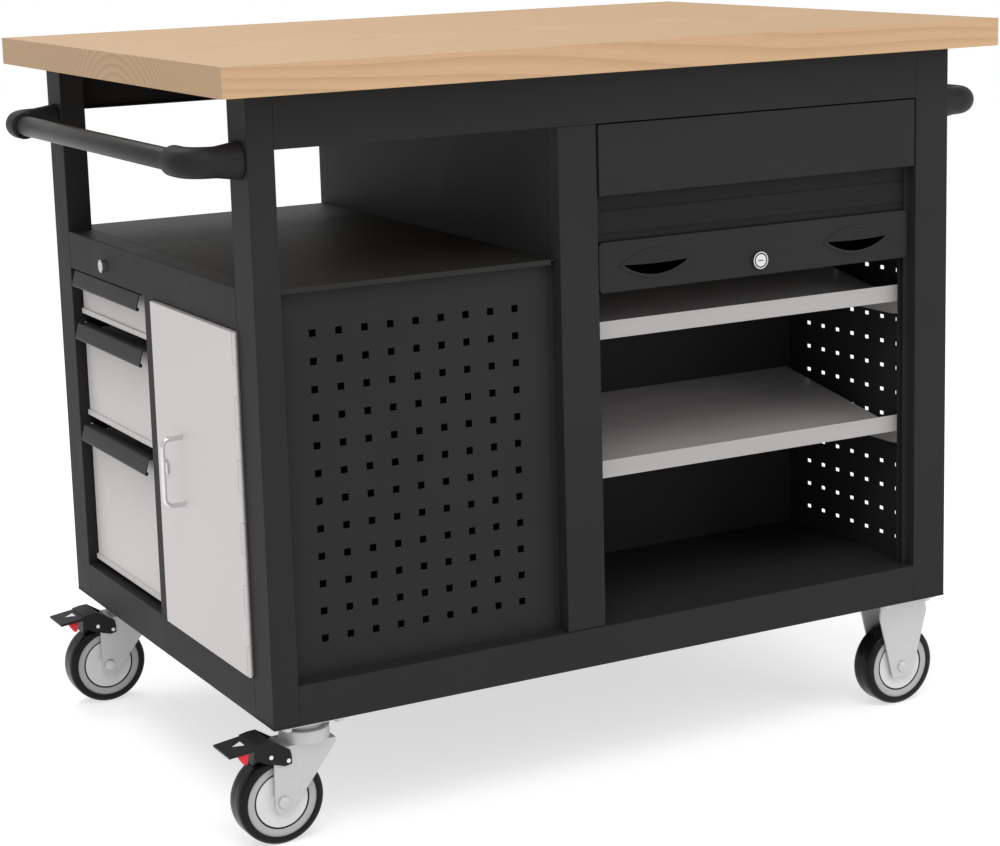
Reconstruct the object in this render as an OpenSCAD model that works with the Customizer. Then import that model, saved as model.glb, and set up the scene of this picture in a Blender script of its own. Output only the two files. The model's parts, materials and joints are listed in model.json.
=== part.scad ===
// Mobile workbench: steel frame on casters, wooden worktop, roller-shutter cabinet with
// two sloping shelves, open bay over a cupboard and three drawers that open at the left end.
// Millimetres. +Z up, +X to the right, -Y is the front. The origin is on the floor,
// under the middle of the bench.

/* [Overall] */
// Width of the steel frame from end to end
frame_w = 1126; // [930:1:1400]
// Depth of the steel frame from front to back
frame_d = 796; // [680:1:960]
// Height of the steel frame, without worktop and casters
frame_h = 846; // [800:1:1000]
// Thickness of the worktop
top_t = 40; // [25:1:60]
// How far the worktop stands out past each end of the frame
top_over_x = 51; // [10:1:90]
// How far the worktop stands out past the front and the back of the frame
top_over_y = 52; // [10:1:90]
// Height from the floor to the underside of the frame
caster_h = 174; // [160:1:200]

/* [Frame] */
// Sheet thickness of the frame's profiles
wall = 2; // [1.5:0.1:3]
// Width of the two left posts, seen from the front
lpost_w = 38; // [30:1:60]
// Depth of the two left posts, seen from the end
lpost_d = 62; // [50:1:80]
// Width of the two right posts, seen from the front
rpost_w = 59; // [40:1:80]
// Depth of the right posts where the bay opens
rpost_d = 45; // [35:1:60]
// Height of the rails under the worktop
trail_h = 73; // [50:1:100]
// Depth of the top rails' flanges
trail_d = 16; // [12:1:17]
// Height of the bottom rails
brail_h = 56; // [40:1:80]
// Depth of the bottom rails' flanges
brail_d = 30; // [20:1:40]
// Width of the left bay, between its post and the middle upright
lbay_w = 418; // [380:1:480]
// Width of the middle upright
mull_w = 61; // [40:1:80]
// Depth of the middle upright
mull_d = 30; // [20:1:40]
// Thickness of the panels
sheet = 1.5; // [1:0.1:2.5]

/* [Left bay] */
// Height of the deck of the open bay above the underside of the frame
deck_z = 590; // [500:1:640]
// Height of the rail that carries the central lock
lock_rail_h = 57; // [40:1:80]
// Width of the cupboard door's opening in the left end
door_open_w = 311; // [250:1:360]
// Width of the upright between the door and the drawers
jamb_w = 38; // [30:1:60]
// How far the front perforated panel stands back
perf_y = 24; // [15:1:40]
// Gap between the front perforated panel and the upright beside it
perf_edge = 9; // [4:1:14]
// Side of one square hole of the perforated panels
hole = 10; // [6:1:14]
// Distance between neighbouring square holes
pitch = 38; // [25:1:50]

// Height of one hole in the right-hand end panel
end_hole = 6; // [4:1:10]

/* [Drawers] */
// Share of the drawers' height taken by the top drawer
share_1 = 0.173; // [0.12:0.001:0.3]
// Share of the drawers' height taken by the middle drawer
share_2 = 0.338; // [0.2:0.001:0.5]
// How far the drawers' grey fronts stand back from the end face
front_back = 16; // [10:1:24]
// Gap on each side of a drawer's front
front_gap = 3.5; // [2:0.5:6]
// Length of the drawers and of their runners
drawer_l = 410; // [300:1:450]
// Travel of the drawers
drawer_travel = 380; // [200:1:400]
// Width of one telescopic runner
runner_w = 13; // [12:0.5:16]
// Height of one telescopic runner
runner_h = 45; // [35:1:50]
// Height of the black grips
grip_h = 24; // [18:1:30]

/* [Door] */
// How far the door stands out from the end face
door_proud = 6; // [3:1:10]
// Depth of the door pan inside the opening
door_in = 14; // [8:1:20]
// Diameter of the door hinge's knuckles
knuckle_d = 5.6; // [4:0.1:5.8]
// Diameter of the door hinge's pin
hinge_pin_d = 2.4; // [2:0.1:3]
// Diameter of the bow handle's wire
bow_d = 8; // [6:0.5:12]
// Distance between the bow handle's two legs
bow_c = 96; // [64:1:160]
// How far the bow handle stands out
bow_out = 31; // [25:1:45]

/* [Shutter] */
// Height of the cover over the rolled-up curtain
fascia_h = 99; // [80:1:140]
// Height of the shutter's bottom bar
bar_h = 71; // [50:1:90]
// Depth of the shutter's bottom bar
bar_d = 10; // [8:0.5:12]
// How far the front of the bottom bar stands back
bar_y = 12; // [8:1:14]
// How far the bottom bar has been lifted in the pose shown
bar_lift = 478; // [400:1:500]
// Width of a side guide
guide_w = 9; // [7:1:12]
// Thickness of a curtain leaf
leaf_t = 2.4; // [1.5:0.1:3]
// Gap between curtain leaves
leaf_gap = 1.2; // [0.8:0.1:1.6]
// Height of one slat of the curtain
slat = 35; // [25:1:50]
// Length of a shell grip
shell_l = 123; // [90:1:150]
// Height of a shell grip
shell_h = 43; // [30:1:60]
// Distance from the lock to the middle of a shell grip
shell_x = 175; // [120:1:220]

/* [Shelves] */
// Depth of the roller-shutter cabinet
cab_d = 333; // [280:1:400]
// Height of the lower shelf's front edge above the underside of the frame
shelf_1 = 265; // [200:1:320]
// Height of the upper shelf's front edge above the underside of the frame
shelf_2 = 466; // [400:1:500]
// How much a shelf rises towards the back
shelf_rise = 50; // [0:1:80]
// Height of a shelf's front lip
shelf_lip = 24; // [10:1:40]
// Gap between a shelf and the walls beside it
shelf_gap = 1; // [0.5:0.5:4]

/* [Push handles] */
// Diameter of the handle tubes
tube_d = 30; // [25:1:35]
// Distance from the end face to the middle of the handle tube
tube_out = 66; // [60:1:90]
// Height of the handle tubes above the underside of the frame
tube_z = 760; // [700:1:790]
// Diameter of a handle socket at the post
socket_d1 = 51; // [46:1:56]
// Diameter of a handle socket at the tube
socket_d2 = 41; // [40:1:50]

/* [Casters] */
// Diameter of the wheels
wheel_d = 125; // [100:1:130]
// Width of the wheels
wheel_w = 40; // [30:1:44]
// Thickness of the tyres, from tread to hub
tyre_t = 11.5; // [6:0.5:16]
// Distance from the frame's end to the swivel axis
swivel_x = 64; // [55:1:80]
// Distance from the frame's end to the fixed wheels' axles
fixed_x = 60; // [55:1:80]
// Distance from the frame's front or back to the middle of a wheel
caster_y = 50; // [45:1:60]
// How far a swivel wheel trails behind its swivel axis
trail = 44; // [30:1:50]
// Diameter of the wheel axles
axle_d = 10; // [8:1:12]
// Thickness of the fork plates
fork_t = 3; // [2:0.5:4]
// Running clearance of shafts, on the radius
run = 0.05; // [0.02:0.01:0.1]

/* [Hidden] */
$fn = 48;
eps = 1;
W = frame_w;
D = frame_d;
H = frame_h;
// the right post has a step so that the end panel can pass behind it
rstep_w = 46;
rstep_d = lpost_d;
lx1 = lpost_w + lbay_w;
rx0 = lx1 + mull_w;
rx1 = W - rpost_w;
rbay_c = (rx0 + rx1) / 2;
rbay_w = rx1 - rx0;
wall_x = rx1 + 7;
floor_z = brail_h - wall;
pad_t = 3;
trail_z = H - trail_h;
// left end
lock_z0 = deck_z - lock_rail_h;
door_y0 = lpost_d;
door_y1 = lpost_d + door_open_w;
dr_y0 = door_y1 + jamb_w;
dr_y1 = D - lpost_d;
dr_c = (dr_y0 + dr_y1) / 2;
dr_w = dr_y1 - dr_y0;
dr_h = lock_z0 - floor_z;
// tops and bottoms of the three drawers' spaces, counted from the top
dz = [lock_z0, lock_z0 - dr_h * share_1, lock_z0 - dr_h * (share_1 + share_2), floor_z];
front_w = dr_w - 2 * front_gap;
tray_w = dr_w - 2 * runner_w;
run_x0 = lpost_w + 2;
drawer_in = 1.5;
lip_gap = 11;
lip_h = 8;
// door
hinge_x = -door_proud + knuckle_d / 2;
hinge_y = door_y0 + knuckle_d / 2;
door_z0 = brail_h + 2;
door_z1 = lock_z0 - 2;
door_edge = door_y1 - 2;
hleaf = 1.2;
knuckles = 11;
// shutter
bar_z = floor_z + 4 + bar_lift - 2;
bar_w = rbay_w - 14;
leaf_w = rbay_w - 5;
leaf_y = [19, 19 + leaf_t + leaf_gap, 19 + 2 * (leaf_t + leaf_gap)];
curtain_z = bar_z + bar_h;
fascia_z = trail_z - 2.5 - fascia_h + 0.5;
guide_y0 = 17;
guide_y1 = leaf_y[2] + leaf_t + 2.4;
shelf_y = guide_y1 + 0.5;
leaf_up = 60;
lock_head = 25;
// casters
axle_z = -caster_h + wheel_d / 2;
leg_y = wheel_w / 2 + 2;
plate_t = 4;
crown_z = -34;
race_z = -16;
tyre_r0 = wheel_d / 2 - tyre_t;

steel = [0.21, 0.21, 0.22];
light = [0.8, 0.79, 0.78];
wood = [0.8, 0.66, 0.5];
zinc = [0.75, 0.75, 0.75];
plastic = [0.1, 0.1, 0.1];

// ---------- helpers ----------

// from the corner of the frame to the shared origin
module at_frame() {
  translate([-W / 2, -D / 2, caster_h]) children();
}

// a box given by two opposite corners
module box(a, b) {
  translate(a) cube(b - a);
}

// a sheet-metal tube standing upright, open at both ends
module upright_tube(a, b, t) {
  difference() {
    box(a, b);
    box([a[0] + t, a[1] + t, a[2] - eps], [b[0] - t, b[1] - t, b[2] + eps]);
  }
}

// the footprint of the four posts, for rails that stop at them
module post_space(z0, z1) {
  for (m = [0, 1]) at_back(m) {
    box([-eps, -eps, z0], [lpost_w, lpost_d, z1]);
    box([rx1, -eps, z0], [W + eps, rpost_d, z1]);
    box([W - rstep_w, -eps, z0], [W + eps, rstep_d, z1]);
  }
}

// the same thing at the front (0) or mirrored to the back (1)
module at_back(m) {
  if (m == 0) children();
  if (m == 1) translate([0, D, 0]) mirror([0, 1, 0]) children();
}

// a ring of channel section around the whole frame, open towards the inside
module rail_ring(z0, z1, d) {
  difference() {
    box([0, 0, z0], [W, D, z1]);
    box([wall, wall, z0 + wall], [W - wall, D - wall, z1 - wall]);
    box([d, d, z0 - eps], [W - d, D - d, z1 + eps]);
  }
}

// a rod along X
module rod_x(x0, x1, y, z, r) {
  translate([x0, y, z]) rotate([0, 90, 0]) cylinder(h = x1 - x0, r = r);
}

// a rod along Y
module rod_y(x, y0, y1, z, r) {
  translate([x, y0, z]) rotate([-90, 0, 0]) cylinder(h = y1 - y0, r = r);
}

// a profile drawn in X and Z, extruded along Y from y0 to y1
module prism_y(points, y0, y1) {
  translate([0, y1, 0]) rotate([90, 0, 0]) linear_extrude(height = y1 - y0) polygon(points);
}

// a profile drawn in Y and Z, extruded along X from x0 to x1
module prism_x(points, x0, x1) {
  translate([x0, 0, 0]) rotate([90, 0, 90]) linear_extrude(height = x1 - x0) polygon(points);
}

// a rounded plate facing the front, from y0 to y1
module rounded_plate(x0, x1, z0, z1, y0, y1, r) {
  translate([0, y1, 0]) rotate([90, 0, 0]) linear_extrude(height = y1 - y0) union() {
    translate([x0 + r, z0]) square([x1 - x0 - 2 * r, z1 - z0]);
    translate([x0, z0 + r]) square([x1 - x0, z1 - z0 - 2 * r]);
    for (x = [x0 + r, x1 - r]) for (z = [z0 + r, z1 - r]) translate([x, z]) circle(r = r);
  }
}

// ---------- frame ----------

screw_x = [60, 250, W / 2, W - 250, W - 80];
screw_y = trail_d / 2 + 1;

module worktop() {
  color(wood) at_frame() difference() {
    box([-top_over_x, -top_over_y, H], [W + top_over_x, D + top_over_y, H + top_t]);
    for (m = [0, 1]) at_back(m) for (x = screw_x)
      translate([x, screw_y, H - eps]) cylinder(h = 25 + eps, r = 2.5 + run);
  }
}

module worktop_screws() {
  color(zinc) at_frame() for (m = [0, 1]) at_back(m) for (x = screw_x)
    translate([x, screw_y, H - wall - 3]) {
      cylinder(h = 3, r = 5);
      cylinder(h = 3 + wall + 24, r = 2.5);
    }
}

module right_post_section() {
  difference() {
    union() {
      box([rx1, 0, pad_t], [W, rpost_d, H]);
      box([W - rstep_w, 0, pad_t], [W, rstep_d, H]);
    }
    box([rx1 + wall, wall, -eps], [W - wall, rpost_d - wall, H + eps]);
    box([W - rstep_w + wall, wall, -eps], [W - wall, rstep_d - wall, H + eps]);
  }
}

module frame_posts() {
  color(steel) at_frame() for (m = [0, 1]) at_back(m) {
    upright_tube([0, 0, pad_t], [lpost_w, lpost_d, H], wall);
    right_post_section();
  }
}

module frame_top_rails() {
  color(steel) at_frame() difference() {
    rail_ring(trail_z, H, trail_d);
    post_space(trail_z - eps, H + eps);
    box([-eps, lpost_d, trail_z - eps], [lpost_w, D - lpost_d, H + eps]);
    for (m = [0, 1]) at_back(m) for (x = screw_x)
      translate([x, screw_y, H - wall - eps]) cylinder(h = wall + 2 * eps, r = 2.5 + run);
  }
}

// bolt places of one caster plate around its middle
bolt_dx = 38;
bolt_dy = 33;
bolt_r = 4;

module bolt_spots() {
  for (m = [0, 1]) at_back(m) for (x = [swivel_x, W - fixed_x])
    for (i = [-1, 1]) for (j = [-1, 1])
      translate([x + i * bolt_dx, caster_y + j * bolt_dy, 0]) children();
}

module frame_bottom_rails() {
  color(steel) at_frame() difference() {
    union() {
      difference() {
        rail_ring(0, brail_h, brail_d);
        post_space(-eps, brail_h + eps);
      }
      for (m = [0, 1]) at_back(m) {
        box([0, 0, 0], [swivel_x + 60, caster_y + 60, pad_t]);
        box([W - fixed_x - 60, 0, 0], [W, caster_y + 60, pad_t]);
      }
    }
    bolt_spots() translate([0, 0, -eps]) cylinder(h = pad_t + 2 * eps, r = bolt_r + run);
  }
}

module uprights_and_lock_rail() {
  color(steel) at_frame() {
    for (m = [0, 1]) at_back(m)
      upright_tube([lx1, wall, brail_h], [rx0, wall + mull_d, trail_z], wall);
    upright_tube([0, door_y1, brail_h], [lpost_w, dr_y0, lock_z0], wall);
    difference() {
      box([0, lpost_d, lock_z0], [lpost_w, D - lpost_d, deck_z]);
      box([wall, lpost_d - eps, lock_z0 + wall],
        [lpost_w - wall, D - lpost_d + eps, deck_z - wall]);
      rod_x(-eps, 2 * wall, dr_c, lock_z0 + 23, 7 + run);
    }
  }
}

module floor_pan() {
  color(steel) at_frame() difference() {
    box([wall + 1, wall + 1, floor_z - sheet], [W - wall - 1, D - wall - 1, floor_z]);
    post_space(floor_z - 2 * sheet, floor_z + eps);
  }
}

// ---------- left bay ----------

module deck() {
  color(steel) at_frame() {
    box([lpost_w, 12, deck_z - sheet], [lx1 - 0.5, D - 10, deck_z]);
    box([lpost_w, 12, deck_z - 7], [lx1 - perf_edge, 12 + sheet, deck_z - sheet]);
  }
}

perf_c0 = 52.4;
perf_top = deck_z - 7;
perf_rows = floor((perf_top - 57.3 - brail_h - 20) / pitch) + 1;
perf_x1 = lx1 - perf_edge;
perf_cols = floor((lbay_w - perf_edge - 2 * perf_c0) / pitch) + 1;

module front_perforated_panel() {
  color(steel) at_frame() difference() {
    box([lpost_w, perf_y, brail_h], [perf_x1, perf_y + sheet, perf_top]);
    for (c = [0 : perf_cols - 1]) for (r = [0 : perf_rows - 1])
      translate([lpost_w + perf_c0 + c * pitch - hole / 2, perf_y - eps,
        perf_top - 57.3 - r * pitch - hole / 2])
        cube([hole, sheet + 2 * eps, hole]);
  }
}

end_cols = floor((cab_d - 52 - 20) / pitch) + 1;
end_rows = floor((H - 180 - 70) / pitch) + 1;

module end_perforated_panel() {
  color(steel) at_frame() difference() {
    box([wall_x, rpost_d, floor_z], [wall_x + sheet, D - rpost_d, H - wall - 1]);
    for (c = [0 : end_cols - 1]) for (r = [0 : end_rows - 1])
      translate([wall_x - eps, 52 + c * pitch - hole / 2, 89.6 + r * pitch - end_hole / 2])
        cube([sheet + 2 * eps, hole, end_hole]);
  }
}

// side sheets of the shutter cabinet; the left one folds out behind the perforated panel
module cabinet_sides() {
  y0 = perf_y + sheet + 0.1;
  color(steel) at_frame() {
    box([lx1, wall + mull_d, floor_z], [lx1 + sheet, D - wall - mull_d, trail_z]);
    box([lx1 - sheet, wall + mull_d, floor_z], [lx1 + sheet, wall + mull_d + 20, perf_top]);
    box([lx1 - sheet, y0, brail_h], [lx1, wall + mull_d + 20, perf_top]);
    box([perf_x1 - 12, y0, brail_h], [lx1, y0 + sheet, perf_top]);
    box([rx0 - sheet, wall + mull_d, floor_z], [rx0, cab_d, trail_z]);
  }
}

module cabinet_back() {
  color(steel) at_frame() box([rx0 - sheet, cab_d, floor_z], [wall_x, cab_d + sheet, H - 6]);
}

module rear_panels() {
  color(steel) at_frame() {
    box([lpost_w, D - 10, brail_h], [lx1, D - 10 + sheet, deck_z]);
    box([rx0, D - 10, brail_h], [rx1, D - 10 + sheet, trail_z]);
  }
}

module drawer_housing() {
  color(steel) at_frame() {
    box([lpost_w, dr_y0 - sheet, floor_z], [lx1 - 1, dr_y0, deck_z - sheet]);
    box([lpost_w, dr_y1, floor_z], [lx1 - 1, dr_y1 + sheet, deck_z - sheet]);
  }
}

// ---------- drawers ----------

// the part of a drawer space that the runners use, measured from its bottom
runner_z = 40;

module both_sides() {
  children();
  translate([0, 2 * dr_c, 0]) mirror([0, 1, 0]) children();
}

// a runner profile along X: web at y0, flanges reaching to y1, open towards the drawer
module channel(x0, x1, y0, y1, z, h, t) {
  difference() {
    box([x0, y0, z - h / 2], [x1, y1, z + h / 2]);
    box([x0 - eps, y0 + t, z - h / 2 + t], [x1 + eps, y1 + eps, z + h / 2 - t]);
  }
}

rt = 1.5;

module fixed_runners() {
  color(zinc) at_frame() both_sides() for (i = [1, 2, 3])
    channel(run_x0, run_x0 + drawer_l, dr_y0, dr_y0 + 10, dz[i] + runner_z, runner_h, rt);
}

module mid_runners(i) {
  color(zinc) at_frame() both_sides()
    channel(run_x0, run_x0 + drawer_l, dr_y0 + rt + 1, dr_y0 + 9.5, dz[i] + runner_z,
      runner_h - 2 * rt - 2, rt);
}

module tray(i) {
  z0 = dz[i] + lip_gap;
  z1 = dz[i - 1] - drawer_in - 1.5;
  y0 = dr_c - tray_w / 2;
  y1 = dr_c + tray_w / 2;
  color(light) at_frame() {
    difference() {
      box([front_back, y0, z0 + 3], [front_back + drawer_l, y1, z1 - 10]);
      box([front_back + sheet, y0 + sheet, z0 + 3 + sheet],
        [front_back + drawer_l - sheet, y1 - sheet, z1]);
    }
    box([front_back, dr_c - front_w / 2, z0], [front_back + sheet, dr_c + front_w / 2, z1]);
    box([front_back - 3.4, dr_c - front_w / 2, z0],
      [front_back, dr_c + front_w / 2, z0 + lip_h]);
    both_sides() channel(run_x0, front_back + drawer_l, dr_y0 + 2 * rt + 2, y0 + 0.01,
      dz[i] + runner_z, runner_h - 4 * rt - 5, rt);
  }
}

// the black grip: a bent strip that leans out and curls back at its lower edge
module drawer_grip(i) {
  z = dz[i - 1] - drawer_in;
  gw = front_w - 32;
  color(plastic) at_frame() prism_y([
    [front_back + sheet, z], [1, z], [-0.6, z - 1.2],
    [-6, z - grip_h + 2], [-5.4, z - grip_h], [-1.5, z - grip_h], [-1, z - grip_h + 4.5],
    [-2.4, z - grip_h + 4.5], [-3, z - grip_h + 1.6], [-4.4, z - grip_h + 1.6],
    [0.6, z - 1.5], [front_back + sheet, z - 1.5]], dr_c - gw / 2, dr_c + gw / 2);
}

module central_lock() {
  color(zinc) at_frame() translate([0, dr_c, lock_z0 + 23]) {
    rod_x(-7.5, -0.5, 0, 0, 9.5);
    rod_x(-0.5, 20, 0, 0, 7);
    box([20, -6, -18], [22, 6, 6]);
  }
}

// ---------- door ----------

knuckle_l = (door_z1 - door_z0) / knuckles;

// hinge knuckles; odd ones belong to the door, even ones to the frame
module knuckle_row(odd) {
  for (k = [0 : knuckles - 1]) if (k % 2 == odd)
    translate([hinge_x, hinge_y, door_z0 + k * knuckle_l + 0.3])
      cylinder(h = knuckle_l - 0.6, r = knuckle_d / 2);
}

lock_dy = 33;
lock_dz = 240;

module door_panel() {
  color(light) at_frame() difference() {
    union() {
      box([-door_proud, door_y0 + 7, door_z0], [door_in, door_edge, door_z1]);
      knuckle_row(1);
      for (k = [0 : knuckles - 1]) if (k % 2 == 1)
        box([-door_proud, hinge_y, door_z0 + k * knuckle_l + 0.3],
          [-door_proud + hleaf, door_y0 + 8, door_z0 + (k + 1) * knuckle_l - 0.3]);
    }
    box([-door_proud + hleaf, door_y0 + 7 + hleaf, door_z0 + hleaf],
      [door_in + eps, door_edge - hleaf, door_z1 - hleaf]);
    translate([hinge_x, hinge_y, door_z0 - eps])
      cylinder(h = door_z1 - door_z0 + 2 * eps, r = hinge_pin_d / 2 + run);
    rod_x(-door_proud - eps, 0, door_edge - lock_dy, brail_h + lock_dz, 8 + run);
  }
}

module door_hinge() {
  color(light) at_frame() {
    difference() {
      union() {
        knuckle_row(0);
        for (k = [0 : knuckles - 1]) if (k % 2 == 0)
          box([hinge_x, door_y0, door_z0 + k * knuckle_l + 0.3],
            [0.4, door_y0 + hleaf, door_z0 + (k + 1) * knuckle_l - 0.3]);
        box([0.4, door_y0, door_z0], [22, door_y0 + hleaf, door_z1]);
      }
      translate([hinge_x, hinge_y, door_z0 - eps])
        cylinder(h = door_z1 - door_z0 + 2 * eps, r = hinge_pin_d / 2 + run);
    }
    translate([hinge_x, hinge_y, door_z0]) cylinder(h = door_z1 - door_z0, r = hinge_pin_d / 2);
  }
}

module bow_corner(z, s) {
  translate([-door_proud - bow_out + 12, 0, z - s * 12]) rotate([90, 0, 0])
    rotate([0, 0, s > 0 ? 90 : 180]) rotate_extrude(angle = 90)
      translate([12, 0]) circle(d = bow_d);
}

module door_bow_handle() {
  y = door_edge - 103;
  z = brail_h + 250;
  color(zinc) at_frame() translate([0, y, 0]) {
    for (s = [-1, 1]) {
      rod_x(-door_proud - bow_out + 12, -door_proud, 0, z + s * bow_c / 2, bow_d / 2);
      bow_corner(z + s * bow_c / 2, s);
    }
    translate([-door_proud - bow_out, 0, z - bow_c / 2 + 12])
      cylinder(h = bow_c - 24, d = bow_d);
  }
}

module door_lock() {
  color(zinc) at_frame() translate([0, door_edge - lock_dy, brail_h + lock_dz]) {
    rod_x(-door_proud - 3.5, -door_proud - 0.4, 0, 0, 10);
    rod_x(-door_proud - 0.4, 4, 0, 0, 8);
    box([4, -6, -24], [6, 6, 6]);
  }
}

// ---------- roller-shutter cabinet ----------

module shutter_fascia() {
  x0 = rx0 + 2.5;
  x1 = rx1 - 2.5;
  color(steel) at_frame() difference() {
    box([x0, 0, fascia_z], [x1, guide_y0, fascia_z + fascia_h]);
    box([x0 + sheet, sheet, fascia_z + sheet], [x1 - sheet, guide_y0 + eps,
      fascia_z + fascia_h - sheet]);
  }
}

module shutter_guide() {
  difference() {
    box([rx0, guide_y0, brail_h], [rx0 + guide_w, guide_y1, H - 3]);
    box([rx0 + 1.2, guide_y0 + 1.2, floor_z - eps], [rx0 + guide_w + eps, guide_y1 - 1.2, H]);
  }
}

module shutter_guides() {
  color(steel) at_frame() {
    shutter_guide();
    translate([2 * rbay_c, 0, 0]) mirror([1, 0, 0]) shutter_guide();
  }
}

module shutter_bar() {
  z0 = bar_z;
  z1 = bar_z + bar_h;
  x0 = rbay_c - bar_w / 2;
  x1 = rbay_c + bar_w / 2;
  color(steel) at_frame() difference() {
    union() {
      rounded_plate(x0, x1, z0, z1, bar_y, bar_y + sheet, 7);
      box([x0 + 4, bar_y + sheet, z0], [x1 - 4, bar_y + bar_d, z1]);
    }
    box([x0 + 4 + sheet, bar_y + sheet, z0 + sheet], [x1 - 4 - sheet, bar_y + bar_d - sheet,
      z1 - sheet]);
    for (s = [-1, 1]) lens(rbay_c + s * shell_x, z0 + bar_h / 2, 3.5, bar_y - eps,
      bar_y + sheet + eps);
    rod_y(rbay_c, bar_y - eps, bar_y + sheet + eps, z0 + 22, 9 + run);
  }
}

// eye-shaped solid along Y, set in by e from the outline of a shell grip
module lens(x, z, e, y0, y1) {
  r = (shell_l * shell_l + shell_h * shell_h) / (4 * shell_h);
  intersection() {
    rod_y(x, y0, y1, z - r + shell_h / 2, r - e);
    rod_y(x, y0, y1, z + r - shell_h / 2, r - e);
  }
}

module shutter_shell_grips() {
  z = bar_z + bar_h / 2;
  y1 = bar_y + bar_d - sheet;
  color(plastic) at_frame() for (s = [-1, 1]) difference() {
    x = rbay_c + s * shell_x;
    union() {
      lens(x, z, 0, bar_y - 1.2, bar_y);
      lens(x, z, 3.8, bar_y - eps, y1 - 0.3);
    }
    lens(x, z, 5.3, bar_y - 2, y1 - 1.5);
  }
}

module shutter_lock() {
  color(zinc) at_frame() {
    rod_y(rbay_c, bar_y - 6, bar_y - 0.4, bar_z + 22, lock_head / 2);
    rod_y(rbay_c, bar_y - 0.4, bar_y + 5, bar_z + 22, 9);
    box([rbay_c - 5, bar_y + 5, bar_z + 14], [rbay_c + 5, bar_y + 6.5, bar_z + 44]);
  }
}

// one leaf of the curtain, grooved at each slat
module leaf(k, z0, h) {
  y = leaf_y[k];
  color(steel) at_frame() difference() {
    box([rbay_c - leaf_w / 2, y, z0], [rbay_c + leaf_w / 2, y + leaf_t, z0 + h]);
    for (z = [curtain_z + 10 : slat : z0 + h - 4]) if (z > z0 + 4)
      box([rbay_c - leaf_w / 2 - eps, y - eps, z - 1], [rbay_c + leaf_w / 2 + eps, y + 0.8, z + 1]);
  }
}

// ---------- shelves ----------

module one_shelf(z) {
  y0 = shelf_y;
  y1 = cab_d - 2;
  color(light) at_frame() prism_x([
    [y0, z + shelf_lip], [y0, z - sheet], [y1, z - sheet + shelf_rise],
    [y1, z + shelf_rise], [y0 + sheet, z + 0.3], [y0 + sheet, z + shelf_lip]],
    rx0 + shelf_gap, rx1 - shelf_gap);
}

module shelves() {
  one_shelf(shelf_1);
  one_shelf(shelf_2);
}

module one_bracket(z, x) {
  y0 = shelf_y;
  y1 = cab_d;
  s = shelf_rise / (cab_d - 2 - shelf_y);
  color(light) at_frame() prism_x([
    [y0 + 1, z - sheet + s * 1], [y0 + 1, z - 15], [y0 + 6, z - 22], [y0 + 22, z - 24],
    [y1, z - 24], [y1, z - sheet + s * (y1 - y0)]], x, x + 2);
}

module shelf_brackets() {
  for (z = [shelf_1, shelf_2]) {
    one_bracket(z, rx0 + shelf_gap);
    one_bracket(z, rx1 - shelf_gap - 2);
  }
}

// ---------- push handles ----------

bend = 34;

module one_socket() {
  difference() {
    union() {
      translate([0, 30, tube_z]) rotate([0, -90, 0]) cylinder(h = 4, r = socket_d1 / 2);
      translate([-4, 30, tube_z]) rotate([0, -90, 0])
        cylinder(h = tube_out - bend - 4, r1 = socket_d1 / 2, r2 = socket_d2 / 2);
      translate([-tube_out + bend, 30 + bend, tube_z]) rotate([0, 0, 180])
        rotate_extrude(angle = 90) translate([bend, 0]) circle(d = socket_d2);
      rod_y(-tube_out, 30 + bend, 30 + bend + 24, tube_z, socket_d2 / 2);
    }
    rod_y(-tube_out, 30 + bend + 2, 30 + bend + 24 + eps, tube_z, tube_d / 2 + run);
  }
}

module both_ends() {
  children();
  translate([W, 0, 0]) mirror([1, 0, 0]) children();
}

module push_handle_sockets() {
  color(plastic) at_frame() both_ends() for (m = [0, 1]) at_back(m) one_socket();
}

module push_handle_tubes() {
  color(plastic) at_frame() both_ends() difference() {
    rod_y(-tube_out, 30 + bend + 2.5, D - 30 - bend - 2.5, tube_z, tube_d / 2);
    rod_y(-tube_out, 30, D - 30, tube_z, tube_d / 2 - 2);
  }
}

// ---------- casters ----------

// front (0) or rear (1) caster; children are drawn around the frame's front left corner
module swivel_at(m, c = zinc) {
  color(c) at_frame() translate([swivel_x, m == 0 ? caster_y : D - caster_y, 0]) children();
}

module fixed_at(m) {
  at_frame() translate([W - fixed_x, m == 0 ? caster_y : D - caster_y, 0]) children();
}

module plate_with_holes() {
  difference() {
    box([-50, -42, -plate_t], [50, 42, 0]);
    for (i = [-1, 1]) for (j = [-1, 1]) translate([i * bolt_dx, j * bolt_dy, -plate_t - eps])
      cylinder(h = plate_t + 2 * eps, r = bolt_r + run);
  }
}

// plate, upper bearing race and kingpin
module swivel_plates() {
  for (m = [0, 1]) swivel_at(m) {
    plate_with_holes();
    translate([0, 0, race_z]) cylinder(h = -race_z - plate_t, r = 28);
    translate([0, 0, crown_z - 3]) cylinder(h = race_z - crown_z + 3 + eps, r = 6);
    translate([0, 0, crown_z - 7]) cylinder(h = 3.5, r = 11);
    translate([0, 0, crown_z - 4]) cylinder(h = 1.5, r = 6);
  }
}

module caster_bolts() {
  color(zinc) at_frame() bolt_spots() {
    translate([0, 0, -plate_t - 5]) cylinder(h = 5, r = 7, $fn = 6);
    translate([0, 0, -plate_t]) cylinder(h = plate_t + pad_t + 9, r = bolt_r);
    translate([0, 0, pad_t]) cylinder(h = 6, r = 7, $fn = 6);
  }
}

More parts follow.
